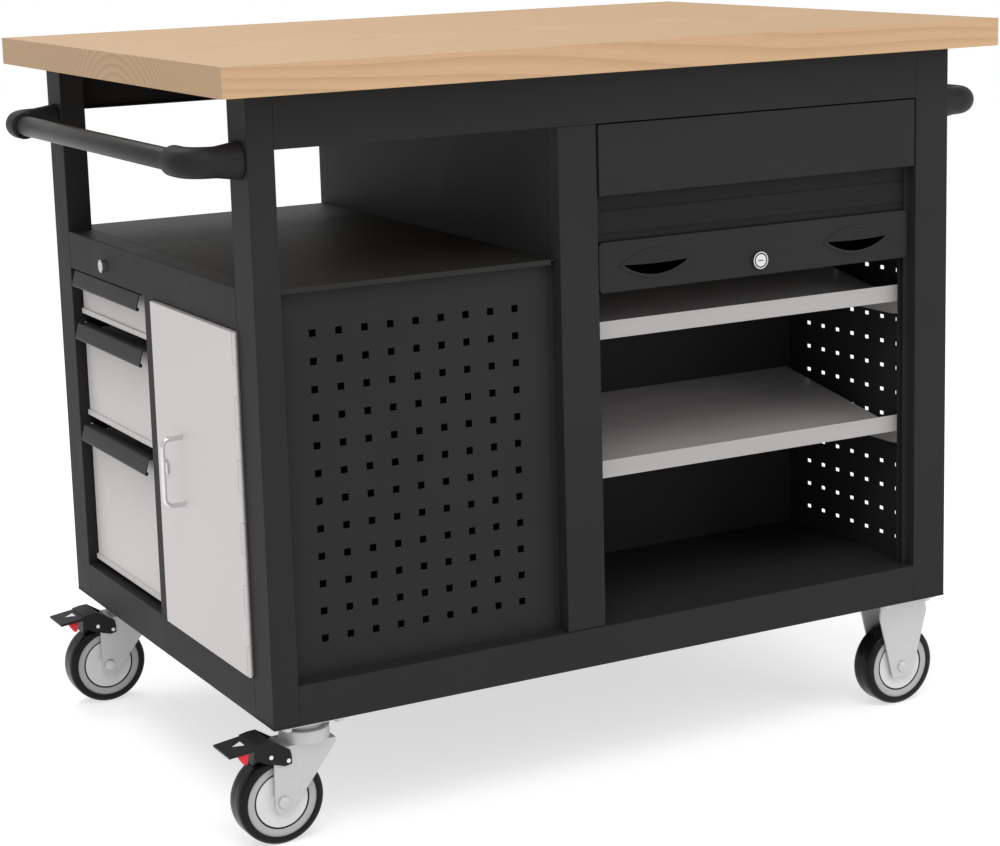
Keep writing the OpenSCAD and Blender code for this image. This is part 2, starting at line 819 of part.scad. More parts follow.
// swivel fork: lower race, crown and two legs that trail to the axle
module fork() {
  difference() {
    union() {
      translate([0, 0, crown_z]) cylinder(h = race_z - crown_z - 0.6, r = 35);
      box([-40, -leg_y - fork_t, crown_z - fork_t], [36, leg_y + fork_t, crown_z]);
      for (s = [-1, 1]) prism_y([
        [-40, crown_z - 1], [36, crown_z - 1], [36, crown_z - 6], [1, axle_z + 26],
        [-trail + 16, axle_z - 9], [-trail + 8, axle_z - 15], [-trail - 8, axle_z - 15],
        [-trail - 13, axle_z - 6], [-trail - 12, crown_z - 16]],
        s * (leg_y + fork_t / 2) - fork_t / 2, s * (leg_y + fork_t / 2) + fork_t / 2);
    }
    translate([0, 0, crown_z - 2 * fork_t]) cylinder(h = 40, r = 6 + run);
    rod_y(-trail, -leg_y - fork_t - eps, leg_y + fork_t + eps, axle_z, axle_d / 2 + run);
    rod_y(pedal_x, -leg_y - fork_t - eps, leg_y + fork_t + eps, pedal_z, 3);
  }
  for (s = [-1, 1]) rod_y(pedal_x, s * (leg_y + 3.2) - 3.2, s * (leg_y + 3.2) + 3.2, pedal_z, 3);
}

pedal_x = -36;
pedal_z = -53;

module axle() {
  rod_y(0, -leg_y - fork_t, leg_y + fork_t, 0, axle_d / 2);
  for (s = [-1, 1]) rod_y(0, s * (leg_y + fork_t + 1.5) - 1.5, s * (leg_y + fork_t + 1.5) + 1.5,
    0, 9);
}

module hub() {
  w = wheel_w / 2;
  rim = tyre_r0 - 12.5;
  rotate([90, 0, 0]) rotate_extrude() polygon([
    [axle_d / 2 + run, -w - 1], [14, -w - 1], [14, -w + 2.5], [rim, -w + 2.5], [rim, -w + 3.5],
    [rim + 1, -w + 3.5], [rim + 1, -w + 2], [tyre_r0, -w + 2], [tyre_r0, w - 2],
    [rim + 1, w - 2], [rim + 1, w - 3.5], [rim, w - 3.5], [rim, w - 2.5], [14, w - 2.5],
    [14, w + 1], [axle_d / 2 + run, w + 1]]);
}

module tyre() {
  w = wheel_w / 2;
  r = wheel_d / 2;
  e = 6;
  rotate([90, 0, 0]) rotate_extrude() difference() {
    union() {
      translate([tyre_r0, -w]) square([r - tyre_r0 - e, 2 * w]);
      translate([tyre_r0, -w + e]) square([r - tyre_r0, 2 * w - 2 * e]);
      for (s = [-1, 1]) translate([r - e, s * (w - e)]) circle(r = e);
    }
    translate([tyre_r0 - 10, -w - eps]) square([10, 2 * w + 2 * eps]);
  }
}

// foot pedal with its cheeks, brake block and release tab; it turns on the stubs of the fork
module brake_pedal() {
  s1 = leg_y + fork_t + 0.6;
  t = 2.4;
  difference() {
    union() {
      for (s = [-1, 1]) prism_y([
        [-84, -24], [-60, -21], [pedal_x + 3, pedal_z + 15], [pedal_x + 5, pedal_z + 6],
        [pedal_x + 5, pedal_z - 5], [pedal_x - 5, pedal_z - 7], [-70, -51], [-86, -43]],
        s * (s1 + t / 2) - t / 2, s * (s1 + t / 2) + t / 2);
      prism_y([[-84, -24], [-72, -21.5], [-60, -21], [-60, -25], [-84, -28]], -s1 - t, s1 + t);
      prism_y([[-122, -31], [-84, -26], [-84, -24], [-81, -24], [-81, -46], [-84, -46],
        [-84, -31], [-121, -34.5]], -s1 - t, s1 + t);
      box([-82, -15, -46], [-62, 15, -23]);
      prism_y([[-82, -45], [-82, -55.5], [-74, -50.5], [-64, -46.5], [-64, -45]], -15, 15);
      prism_y([[-108, -33], [-92, -31], [-95, -47], [-99, -47]], -s1 + 2, -s1 + 14);
    }
    rod_y(pedal_x, -s1 - t - eps, s1 + t + eps, pedal_z, 3 + run);
  }
}

module fixed_fork() {
  plate_with_holes();
  difference() {
    union() {
      box([-41, -leg_y - fork_t, -14], [44, leg_y + fork_t, -plate_t]);
      for (s = [-1, 1]) prism_y([
        [-41, -13], [44, -13], [46, -28], [19, axle_z - 17], [-18, axle_z - 17], [-43, -28]],
        s * (leg_y + fork_t / 2) - fork_t / 2, s * (leg_y + fork_t / 2) + fork_t / 2);
    }
    box([-60, -leg_y, -14 - eps], [60, leg_y, -plate_t - 4]);
    rod_y(0, -leg_y - fork_t - eps, leg_y + fork_t + eps, axle_z, axle_d / 2 + run);
  }
}

// ---------- nodes ----------

worktop();
worktop_screws();
frame_posts();
frame_top_rails();
frame_bottom_rails();
uprights_and_lock_rail();
floor_pan();
deck();
front_perforated_panel();
end_perforated_panel();
cabinet_sides();
cabinet_back();
rear_panels();
drawer_housing();
shutter_fascia();
shutter_guides();
shutter_bar();
leaf(0, curtain_z, 175);  // shutter_leaf_1
leaf(1, curtain_z, 195);  // shutter_leaf_2
leaf(2, curtain_z + 20, 195);  // shutter_leaf_3
shutter_shell_grips();
shutter_lock();
shelves();
shelf_brackets();
door_panel();
door_bow_handle();
door_hinge();
door_lock();
central_lock();
push_handle_tubes();
push_handle_sockets();
tray(1);  // drawer_1_tray
tray(2);  // drawer_2_tray
tray(3);  // drawer_3_tray
drawer_grip(1);  // drawer_1_grip
drawer_grip(2);  // drawer_2_grip
drawer_grip(3);  // drawer_3_grip
mid_runners(1);  // drawer_1_mid_runners
mid_runners(2);  // drawer_2_mid_runners
mid_runners(3);  // drawer_3_mid_runners
fixed_runners();
swivel_plates();
caster_bolts();
swivel_at(0) fork();  // fork_front
swivel_at(1) fork();  // fork_rear
swivel_at(0) translate([-trail, 0, axle_z]) axle();  // axle_front
swivel_at(1) translate([-trail, 0, axle_z]) axle();  // axle_rear
swivel_at(0, light) translate([-trail, 0, axle_z]) hub();  // hub_front
swivel_at(1, light) translate([-trail, 0, axle_z]) hub();  // hub_rear
swivel_at(0, plastic) translate([-trail, 0, axle_z]) tyre();  // tyre_front
swivel_at(1, plastic) translate([-trail, 0, axle_z]) tyre();  // tyre_rear
swivel_at(0, plastic) brake_pedal();  // brake_pedal_front
swivel_at(1, plastic) brake_pedal();  // brake_pedal_rear
for (m = [0, 1]) color(light) fixed_at(m) fixed_fork();  // fixed_forks
for (m = [0, 1]) color(zinc) fixed_at(m)  // fixed_axles
  translate([0, 0, axle_z]) axle();
color(light) fixed_at(0)  // fixed_hub_front
  translate([0, 0, axle_z]) hub();
color(light) fixed_at(1)  // fixed_hub_rear
  translate([0, 0, axle_z]) hub();
color(plastic) fixed_at(0)  // fixed_tyre_front
  translate([0, 0, axle_z]) tyre();
color(plastic) fixed_at(1)  // fixed_tyre_rear
  translate([0, 0, axle_z]) tyre();
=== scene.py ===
import json
import math

import bmesh
import bpy
from mathutils import Matrix, Vector

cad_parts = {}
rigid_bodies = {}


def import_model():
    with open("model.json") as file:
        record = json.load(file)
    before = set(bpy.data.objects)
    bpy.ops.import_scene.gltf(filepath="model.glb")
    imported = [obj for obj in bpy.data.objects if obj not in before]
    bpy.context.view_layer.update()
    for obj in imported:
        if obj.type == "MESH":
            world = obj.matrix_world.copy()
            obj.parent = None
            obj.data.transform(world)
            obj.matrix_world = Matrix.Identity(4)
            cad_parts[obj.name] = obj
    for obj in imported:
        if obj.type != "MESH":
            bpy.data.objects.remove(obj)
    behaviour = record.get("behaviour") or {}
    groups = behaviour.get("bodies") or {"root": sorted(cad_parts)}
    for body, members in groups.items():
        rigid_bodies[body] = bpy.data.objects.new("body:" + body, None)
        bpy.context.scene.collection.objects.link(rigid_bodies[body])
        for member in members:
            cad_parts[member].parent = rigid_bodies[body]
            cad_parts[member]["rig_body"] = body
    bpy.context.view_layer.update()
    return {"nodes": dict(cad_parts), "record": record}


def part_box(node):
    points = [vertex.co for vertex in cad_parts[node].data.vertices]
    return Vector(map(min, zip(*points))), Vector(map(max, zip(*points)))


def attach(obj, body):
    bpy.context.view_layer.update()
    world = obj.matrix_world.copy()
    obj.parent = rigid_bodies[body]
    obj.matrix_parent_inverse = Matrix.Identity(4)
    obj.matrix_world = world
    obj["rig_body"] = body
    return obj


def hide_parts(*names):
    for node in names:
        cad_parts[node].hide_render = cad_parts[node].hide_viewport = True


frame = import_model()
nodes = frame["nodes"]

MM = 0.001
ALONG_Y = (0, 1, 0)
UP = (0, 0, 1)
POSTS_LOW, POSTS_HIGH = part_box("frame_posts")
CORNER = Vector((POSTS_LOW.x, POSTS_LOW.y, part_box("frame_bottom_rails")[0].z))
WIDE = (POSTS_HIGH.x - CORNER.x) / MM
DEEP = (POSTS_HIGH.y - CORNER.y) / MM
SLOT_OF = {part["node"]: part["material_slot"] for part in frame["record"]["subparts"]}


def at(x, y, z):
    """A place given in millimetres from the frame's front left bottom corner."""
    return CORNER + Vector((x, y, z)) * MM


def mirrored(x, y, z, right=False, rear=False):
    """The same place, or its mirror image at the frame's right end or rear side."""
    return at(WIDE - x if right else x, DEEP - y if rear else y, z)


# ---------- shader maths ----------

class Value:
    """A number that varies over a surface. Sums, products and so on add Math nodes."""

    def __init__(self, finish, socket):
        self.finish = finish
        self.socket = socket

    def maths(self, operation, *values):
        node = self.finish.node("ShaderNodeMath", {"operation": operation},
                                dict(enumerate(values)))
        return Value(self.finish, node.outputs[0])

    def __add__(self, other):
        return self.maths("ADD", self, other)

    def __radd__(self, other):
        return self.maths("ADD", other, self)

    def __sub__(self, other):
        return self.maths("SUBTRACT", self, other)

    def __rsub__(self, other):
        return self.maths("SUBTRACT", other, self)

    def __mul__(self, other):
        return self.maths("MULTIPLY", self, other)

    def __rmul__(self, other):
        return self.maths("MULTIPLY", other, self)

    def __truediv__(self, other):
        return self.maths("DIVIDE", self, other)

    def __rtruediv__(self, other):
        return self.maths("DIVIDE", other, self)

    def __pow__(self, power):
        return self.maths("POWER", self, power)

    def least(self, other):
        return self.maths("MINIMUM", self, other)

    def most(self, other):
        return self.maths("MAXIMUM", self, other)

    def size(self):
        return self.maths("ABSOLUTE", self)

    def over(self, edge, soft):
        """0 below the edge, 1 above it, with a soft step between."""
        return (self - (edge - soft)).most(0.0).least(2 * soft) / (2 * soft)


class Finish:
    """One material: a Principled surface whose look is built from nodes."""

    def __init__(self, name, **constants):
        self.material = bpy.data.materials.new(name)
        self.material.use_nodes = True
        self.tree = self.material.node_tree
        self.surface = self.tree.nodes["Principled BSDF"]
        for socket, value in constants.items():
            self.surface.inputs[socket.replace("_", " ")].default_value = value
        self.place = self.node("ShaderNodeTexCoord").outputs["Object"]

    def node(self, kind, settings=None, sockets=None):
        """Adds a node: its settings first, then the values or links of its sockets."""
        made = self.tree.nodes.new(kind)
        for name, value in (settings or {}).items():
            setattr(made, name, value)
        for name, value in (sockets or {}).items():
            socket = made.inputs[name]
            if isinstance(value, Value):
                value = value.socket
            if isinstance(value, bpy.types.NodeSocket):
                self.tree.links.new(value, socket)
            else:
                socket.default_value = value
        return made

    def noise(self, scale, detail, rough, stretch=None):
        """Cloudy noise; a small stretch along an axis draws it out into grain."""
        place = self.place
        if stretch:
            place = self.node("ShaderNodeMapping", None, {
                "Vector": place, "Scale": stretch}).outputs["Vector"]
        node = self.node("ShaderNodeTexNoise", None, {
            "Vector": place, "Scale": scale, "Detail": detail, "Roughness": rough})
        return Value(self, node.outputs["Fac"])

    def axis(self, name):
        node = self.node("ShaderNodeSeparateXYZ", None, {"Vector": self.place})
        return Value(self, node.outputs[name])

    def blend(self, how_much, first, second):
        """A mix of two colours: the first at 0, the second at 1."""
        mix = self.node("ShaderNodeMix", {"data_type": "RGBA"}, {0: how_much})
        for socket, colour in ((mix.inputs[6], first), (mix.inputs[7], second)):
            if isinstance(colour, bpy.types.NodeSocket):
                self.tree.links.new(colour, socket)
            else:
                socket.default_value = (*colour, 1.0)
        return mix.outputs[2]

    def shade(self, colour, roughness=None, height=None, depth=None):
        """Feeds the surface: its colour, and where given its roughness and its bumps."""
        self.tree.links.new(colour, self.surface.inputs["Base Color"])
        if roughness is not None:
            self.tree.links.new(roughness.socket, self.surface.inputs["Roughness"])
        if height is not None:
            bump = self.node("ShaderNodeBump", None, {
                "Height": height, "Distance": depth, "Strength": 0.6})
            self.tree.links.new(bump.outputs["Normal"], self.surface.inputs["Normal"])
        return self.material


# ---------- finishes ----------

def powder_coat(name, dark, light, gloss, grain=520.0, depth=0.00012, shine=0.5,
                index=1.16):
    """Sprayed powder: slight orange peel, cloudy tone, a few rubbed patches.

    The low index keeps dark paint dark where it is seen at a flat angle.
    """
    f = Finish(name, Specular_IOR_Level=shine, IOR=index)
    cloud = f.noise(3.1, 3.0, 0.55)
    peel = f.noise(grain, 2.0, 0.6)
    speck = f.noise(2300.0, 1.0, 0.5)
    rubbed = f.noise(9.0, 5.0, 0.62).over(0.62, 0.08)
    colour = f.blend(cloud * 0.8 + speck * 0.2, dark, light)
    rough = gloss + (peel - 0.5) * 0.10 + (cloud - 0.5) * 0.06 - rubbed * 0.05
    return f.shade(colour, rough, height=peel * 0.8 + speck * 0.2, depth=depth)


# In metres: the height of the rings' heart, the growth of each ring, and where the end
# grain starts.
HEART_Z = 0.86
RING_STEP = 0.0066
END_X = 0.6128


def worktop_wood():
    """Oiled hardwood board: rings round a heart below it, long grain along the bench."""
    f = Finish("worktop_wood", Specular_IOR_Level=0.2, IOR=1.4)
    sway = f.noise(1.6, 2.0, 0.5, stretch=(0.55, 1.6, 1.6))
    waver = f.noise(9.0, 3.0, 0.55, stretch=(0.12, 1.0, 1.0))
    x = f.axis("X")
    y = f.axis("Y")
    z = f.axis("Z")
    radius = ((y + 0.02 + sway * 0.10) ** 2.0 + (z - HEART_Z + x * 0.05) ** 2.0) ** 0.5
    rings = radius ** 1.6 / RING_STEP + waver * 0.6
    end_face = x.size().over(END_X, 0.0004)
    band = rings - rings.maths("FLOOR", rings)
    late = band.over(0.66, 0.24) * (1.0 - band.over(0.965, 0.035))
    fibre = f.noise(190.0, 4.0, 0.6, stretch=(0.03, 1.0, 1.0))
    fleck = f.noise(700.0, 2.0, 0.5, stretch=(0.08, 1.0, 1.0)).over(0.64, 0.06)
    cloud = f.noise(2.3, 3.0, 0.5, stretch=(0.4, 1.0, 1.0))
    base = f.blend(fibre * 0.5 + cloud * 0.5, (0.425, 0.272, 0.152), (0.515, 0.345, 0.2))
    base = f.blend(late * (0.34 + end_face * 0.30), base, (0.31, 0.185, 0.098))
    base = f.blend(end_face * 0.22, base, (0.40, 0.30, 0.20))
    base = f.blend(fleck * 0.16, base, (0.28, 0.16, 0.08))
    rough = 0.5 + fibre * 0.12 - late * 0.05
    return f.shade(base, rough, height=fibre * 0.6 - fleck * 0.5 + late * 0.2, depth=0.0002)


def plated(name, dark, light, gloss=0.34, metal=0.85):
    """Zinc plate on pressed steel: faint rolling lines and cloudy spangle."""
    f = Finish(name, Metallic=metal)
    spangle = f.node("ShaderNodeTexVoronoi", None,
                     {"Vector": f.place, "Scale": 130.0}).outputs["Color"]
    grey = Value(f, f.node("ShaderNodeRGBToBW", None, {"Color": spangle}).outputs[0])
    rolled = f.noise(220.0, 3.0, 0.55, stretch=(0.06, 1.0, 1.0))
    cloud = f.noise(14.0, 3.0, 0.5)
    colour = f.blend(grey * 0.25 + rolled * 0.35 + cloud * 0.4, dark, light)
    return f.shade(colour, gloss + rolled * 0.12 + grey * 0.05, height=rolled + grey * 0.2,
                   depth=0.00004)


def polished(name):
    """Chrome: smears and fine hairlines in a bright plate."""
    f = Finish(name, Metallic=1.0)
    smear = f.noise(38.0, 4.0, 0.6)
    hair = f.noise(700.0, 2.0, 0.5, stretch=(1.0, 0.05, 1.0))
    colour = f.blend(smear, (0.56, 0.56, 0.57), (0.78, 0.78, 0.79))
    return f.shade(colour, 0.13 + smear * 0.12 + hair * 0.05, height=hair, depth=0.00001)


def moulded(name, dark, light, gloss=0.5, grain=1500.0):
    """Injection-moulded plastic with a fine leather grain."""
    f = Finish(name, Specular_IOR_Level=0.5, IOR=1.22)
    cells = f.node("ShaderNodeTexVoronoi", None, {"Vector": f.place, "Scale": grain})
    cell = Value(f, cells.outputs["Distance"])
    cloud = f.noise(11.0, 3.0, 0.5)
    return f.shade(f.blend(cloud * 0.7 + cell * 0.3, dark, light),
                   gloss + (cloud - 0.5) * 0.12, height=cell, depth=0.00005)


def tread_rubber():
    """Smooth black tyre rubber with a little floor dust."""
    f = Finish("tread_rubber", Specular_IOR_Level=0.5, IOR=1.25)
    cloud = f.noise(24.0, 4.0, 0.6)
    grit = f.noise(1400.0, 2.0, 0.5)
    dust = f.noise(60.0, 5.0, 0.65).over(0.63, 0.1)
    colour = f.blend(dust * 0.35 + cloud * 0.25, (0.005, 0.005, 0.0052),
                     (0.013, 0.0128, 0.0122))
    return f.shade(colour, 0.20 + cloud * 0.14 + dust * 0.15, height=grit + cloud,
                   depth=0.00008)


def deck_lining():
    """Dark lining on the deck: fine leathery waves."""
    f = Finish("mat_rubber", Specular_IOR_Level=0.25)
    wave = f.noise(75.0, 3.0, 0.6, stretch=(0.45, 1.0, 1.0))
    fine = f.noise(520.0, 2.0, 0.5)
    cloud = f.noise(4.0, 3.0, 0.5)
    colour = f.blend(wave * 0.6 + cloud * 0.4, (0.006, 0.006, 0.0055), (0.016, 0.0155, 0.014))
    return f.shade(colour, 0.5 + wave * 0.15, height=wave + fine * 0.3, depth=0.0006)


def shelf_sheet():
    """Rolled sheet: long pale streaks along the shelf."""
    f = Finish("shelf_sheet", Specular_IOR_Level=0.5, Metallic=0.2)
    streak = f.noise(26.0, 4.0, 0.6, stretch=(0.05, 1.0, 1.0))
    fine = f.noise(420.0, 3.0, 0.6, stretch=(0.04, 1.0, 1.0))
    cloud = f.noise(5.0, 2.0, 0.5)
    colour = f.blend(streak * 0.7 + fine * 0.3, (0.27, 0.258, 0.253), (0.40, 0.388, 0.382))
    return f.shade(colour, 0.34 + fine * 0.16 + (cloud - 0.5) * 0.1, height=fine,
                   depth=0.00005)


black_coat = powder_coat("black_coat", (0.017, 0.017, 0.0171), (0.0245, 0.0245, 0.0246), 0.5)
# A darker copy of black_coat: painted shade on the shutter slats, which carry the frame's own
# black paint.
shaded_slat_coat = powder_coat("shaded_slat_coat", (0.010, 0.010, 0.0102), (0.016, 0.016, 0.0162), 0.42)
tube_coat = powder_coat("tube_coat", (0.012, 0.012, 0.0122), (0.018, 0.018, 0.0182), 0.4,
                        grain=900.0, depth=0.00006, index=1.25)
grey_coat = powder_coat("grey_coat", (0.515, 0.493, 0.487), (0.57, 0.548, 0.542), 0.42,
                        grain=430.0, depth=0.00005, shine=0.4, index=1.45)
wood = worktop_wood()
zinc = plated("zinc", (0.44, 0.44, 0.45), (0.66, 0.66, 0.67))
fork_zinc = plated("fork_zinc", (0.44, 0.44, 0.44), (0.55, 0.55, 0.55), 0.42, 0.4)
chrome = polished("chrome")
black_plastic = moulded("black_plastic", (0.012, 0.012, 0.013), (0.022, 0.022, 0.023), 0.52)
shell_black = moulded("shell_black", (0.011, 0.011, 0.012), (0.019, 0.019, 0.02), 0.42)
glossy_black = moulded("glossy_black", (0.012, 0.012, 0.013), (0.02, 0.02, 0.021), 0.38)
pedal_black = moulded("pedal_black", (0.010, 0.010, 0.011), (0.018, 0.018, 0.019), 0.42)
hub_plastic = moulded("hub_plastic", (0.54, 0.54, 0.54), (0.64, 0.64, 0.635), 0.42, 700.0)
ring_plastic = moulded("ring_plastic", (0.33, 0.33, 0.33), (0.41, 0.41, 0.41), 0.5, 700.0)
red_plastic = moulded("red_plastic", (0.55, 0.02, 0.03), (0.70, 0.04, 0.05), 0.38)
white_mark = moulded("white_mark", (0.70, 0.70, 0.69), (0.85, 0.85, 0.84), 0.5)
rubber = tread_rubber()
mat_rubber = deck_lining()
shelf_steel = shelf_sheet()
# Near-black for the key slots: painted shade standing in for the dark inside of a slot that
# is not cut. Also the wheels' dark joint line.
key_slot = moulded("key_slot", (0.006, 0.006, 0.006), (0.012, 0.012, 0.012), 0.6)


# ---------- piece helpers ----------

def finished(name, bm, material, body, stands_for=(), smooth=35):
    """Turns a bmesh into a piece that rides on a body of the bench.

    Edges sharper than the smooth angle, in degrees, keep a crease.
    """
    bmesh.ops.remove_doubles(bm, verts=bm.verts, dist=1e-6)
    mesh = bpy.data.meshes.new(name)
    bm.to_mesh(mesh)
    bm.free()
    mesh.materials.append(material)
    for polygon in mesh.polygons:
        polygon.use_smooth = True
    mesh.set_sharp_from_angle(angle=math.radians(smooth))
    piece = bpy.data.objects.new(name, mesh)
    bpy.context.scene.collection.objects.link(piece)
    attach(piece, body)
    if stands_for:
        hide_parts(*stands_for)


def joined(parts):
    """One bmesh out of several."""
    whole = bmesh.new()
    for part in parts:
        holder = bpy.data.meshes.new("holder")
        part.to_mesh(holder)
        part.free()
        whole.from_mesh(holder)
        bpy.data.meshes.remove(holder)
    return whole


def block(low, high):
    """A box between two corners given in millimetres from the frame's corner."""
    bm = bmesh.new()
    a, b = at(*low), at(*high)
    bmesh.ops.create_cube(bm, size=1.0)
    bmesh.ops.scale(bm, vec=b - a, verts=bm.verts)
    bmesh.ops.translate(bm, vec=(a + b) / 2, verts=bm.verts)
    return bm


def round_edges(bm, edges, radius, segments=2):
    bmesh.ops.bevel(bm, geom=list(edges), offset=radius * MM, offset_type="OFFSET",
                    affect="EDGES", segments=segments, profile=0.5, material=-1,
                    clamp_overlap=True)


def eased_block(low, high, radius):
    bm = block(low, high)
    round_edges(bm, bm.edges, radius)
    return bm


def turned(profile, centre, axis, segments):
    """A turned part: (distance along the axis, radius) pairs, spun once round it."""
    bm = bmesh.new()
    spots = [bm.verts.new((r * MM, 0, a * MM)) for a, r in profile]
    edges = [bm.edges.new(pair) for pair in zip(spots, spots[1:])]
    bmesh.ops.spin(bm, geom=spots + edges, cent=(0, 0, 0), axis=(0, 0, 1),
                   dvec=(0, 0, 0), angle=2 * math.pi, steps=segments, use_merge=True)
    bmesh.ops.remove_doubles(bm, verts=bm.verts, dist=1e-6)
    bmesh.ops.recalc_face_normals(bm, faces=bm.faces)
    turn = Vector(UP).rotation_difference(Vector(axis)).to_matrix()
    bmesh.ops.rotate(bm, cent=(0, 0, 0), matrix=turn, verts=bm.verts)
    bmesh.ops.translate(bm, vec=centre, verts=bm.verts)
    return bm


def pushed_out(bm, way):
    """Gives a flat face its thickness by pushing a copy of it along a way."""
    pushed = bmesh.ops.extrude_face_region(bm, geom=list(bm.faces))
    moved = [v for v in pushed["geom"] if isinstance(v, bmesh.types.BMVert)]
    bmesh.ops.translate(bm, vec=way, verts=moved)
    bmesh.ops.recalc_face_normals(bm, faces=bm.faces)


# Edges sharper than the first angle are rounded; faces flatter than the second merge.
SHARP = math.radians(32)
FLAT = math.radians(0.8)


def copy_of(node, radius, segments):
    """A CAD node's own shape with its sharp edges eased."""
    bm = bmesh.new()
    bm.from_mesh(nodes[node].data)
    bmesh.ops.remove_doubles(bm, verts=bm.verts, dist=1e-5)
    bmesh.ops.dissolve_limit(bm, angle_limit=FLAT, use_dissolve_boundaries=False,
                             verts=bm.verts, edges=bm.edges)
    sharp = [e for e in bm.edges
             if len(e.link_faces) == 2 and e.calc_face_angle(0.0) > SHARP]
    round_edges(bm, sharp, radius, segments)
    return bm


def eased(node, material, radius, segments=2):
    """A piece that takes a CAD node's place, with its sharp edges eased."""
    finished(node + "_eased", copy_of(node, radius, segments), material,
             nodes[node]["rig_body"], (node,), 18)


# ---------- CAD nodes that stay as they are get their finish ----------

KEPT = {"black_steel": black_coat, "grey_steel": grey_coat, "shelf_steel": shelf_steel,
        "bright_steel": zinc, "chromed": chrome, "black_plastic": black_plastic,
        "hub_plastic": hub_plastic, "black_rubber": rubber, "oiled_wood": wood}
for node_name, node_object in nodes.items():
    node_object.data.materials.clear()
    node_object.data.materials.append(KEPT[SLOT_OF[node_name]])

# ---------- rings and lofts ----------

def lofted(rings, closed_start=True):
    """A skin drawn over a row of rings, each a list of places with the same count."""
    bm = bmesh.new()
    loops = []
    for ring in rings:
        verts = [bm.verts.new(place) for place in ring]
        loops.append([bm.edges.new(pair) for pair in zip(verts, verts[1:] + verts[:1])])
    for near, far in zip(loops, loops[1:]):
        bmesh.ops.bridge_loops(bm, edges=near + far)
    if closed_start:
        bmesh.ops.contextual_create(bm, geom=loops[0])
    bmesh.ops.contextual_create(bm, geom=loops[-1])
    bmesh.ops.recalc_face_normals(bm, faces=bm.faces)
    return bm


def ring_of(centre, way, radius, count, first=UP):
    """Places round a centre, square to a way, the first of them on the given side."""
    first = Vector(first)
    across = Vector(way).normalized().cross(first)
    return [centre + (first * math.cos(t) + across * math.sin(t)) * radius * MM
            for t in (2 * math.pi * k / count for k in range(count))]


# ---------- sheet-metal parts with eased bends ----------

eased("worktop", wood, 1.3, 3)
for name, radius in (("frame_posts", 1.2), ("frame_top_rails", 1.2),
                     ("frame_bottom_rails", 1.2), ("uprights_and_lock_rail", 1.0),
                     ("shutter_fascia", 0.9), ("shutter_bar", 0.6)):
    eased(name, black_coat, radius)
eased("door_panel", grey_coat, 0.5)

DOOR_LOW, DOOR_HIGH = 58.0, 531.0
KNUCKLES = 11
KNUCKLE = (DOOR_HIGH - DOOR_LOW) / KNUCKLES
PIN_X, PIN_Y = -3.2, 64.8
barrels = []
for k in range(0, KNUCKLES, 2):
    low = DOOR_LOW + k * KNUCKLE + 0.1
    high = low + KNUCKLE - 0.2
    barrels.append(turned([(low, 0), (low, 2.5), (low + 0.3, 2.8), (high - 0.3, 2.8),
                           (high, 2.5), (high, 0)], at(PIN_X, PIN_Y, 0), UP, 24))
    barrels.append(eased_block((-6.0, PIN_Y, low), (-4.8, PIN_Y + 2.7, high), 0.2))
finished("hinge_barrels", joined(barrels), grey_coat, "frame",
         ("door_hinge",), 30)
for i in (1, 2, 3):
    eased(f"drawer_{i}_tray", grey_coat, 0.45)
    eased(f"drawer_{i}_grip", glossy_black, 0.35)
eased("shelves", shelf_steel, 0.5)
eased("shelf_brackets", shelf_steel, 0.4)
nodes["deck"].data.materials[0] = mat_rubber
for name in ("fork_front", "fork_rear", "fixed_forks"):
    eased(name, fork_zinc, 0.6)
eased("swivel_plates", zinc, 0.4)

# ---------- push handles ----------

TUBE_X = 66.0
TUBE_Z = 760.0
SOCKET_Y = 30.0
SOCKET_R = 20.5
BEND = 34.0
BEND_STEPS = 12


def socket_rings(right, rear):
    """Rings of one moulded socket, from the post round the bend to its mouth."""
    rings = []
    for x, r in ((0.4, 23.6), (0.4, 25.2), (1.4, 25.5), (3.0, 25.5), (6.0, 24.6),
                 (14.0, 23.2), (23.0, 21.8), (TUBE_X - BEND, SOCKET_R)):
        rings.append((-x, SOCKET_Y, (-1, 0), r))
    for k in range(1, BEND_STEPS + 1):
        t = math.radians(90 * k / BEND_STEPS)
        rings.append((BEND - TUBE_X - BEND * math.sin(t),
                      SOCKET_Y + BEND - BEND * math.cos(t),
                      (-math.cos(t), math.sin(t)), SOCKET_R))
    for y, r in ((76, SOCKET_R), (85.5, SOCKET_R), (87.2, 20.0), (87.8, 18.8), (87.8, 15.2),
                 (80.0, 15.1)):
        rings.append((-TUBE_X, y, (0, 1), r))
    made = []
    for x, y, way, r in rings:
        way = (-way[0] if right else way[0], -way[1] if rear else way[1], 0)
        made.append(ring_of(mirrored(x, y, TUBE_Z, right, rear), way, r, 40))
    return made


sockets = joined([lofted(socket_rings(a, b)) for a in (False, True) for b in (False, True)])
finished("handle_sockets", sockets, black_plastic, "frame",
         ("push_handle_sockets",))
tubes = []
for right_end in (False, True):
    rings = []
    for y, r in ((66.6, 13.0), (66.6, 14.6), (67.4, 14.95), (400.0, 14.95),
                 (DEEP - 67.4, 14.95), (DEEP - 66.6, 14.6), (DEEP - 66.6, 13.0)):
        rings.append(ring_of(mirrored(-TUBE_X, y, TUBE_Z, right_end), ALONG_Y, r, 48))
    tubes.append(lofted(rings))
finished("handle_tubes", joined(tubes), tube_coat, "frame",
         ("push_handle_tubes",))

# ---------- casters ----------

AXLE_Z = -111.5
SWIVEL_X = 20.0
FIXED_X = WIDE - 60.0
ENDS = (("front", 50.0), ("rear", DEEP - 50.0))

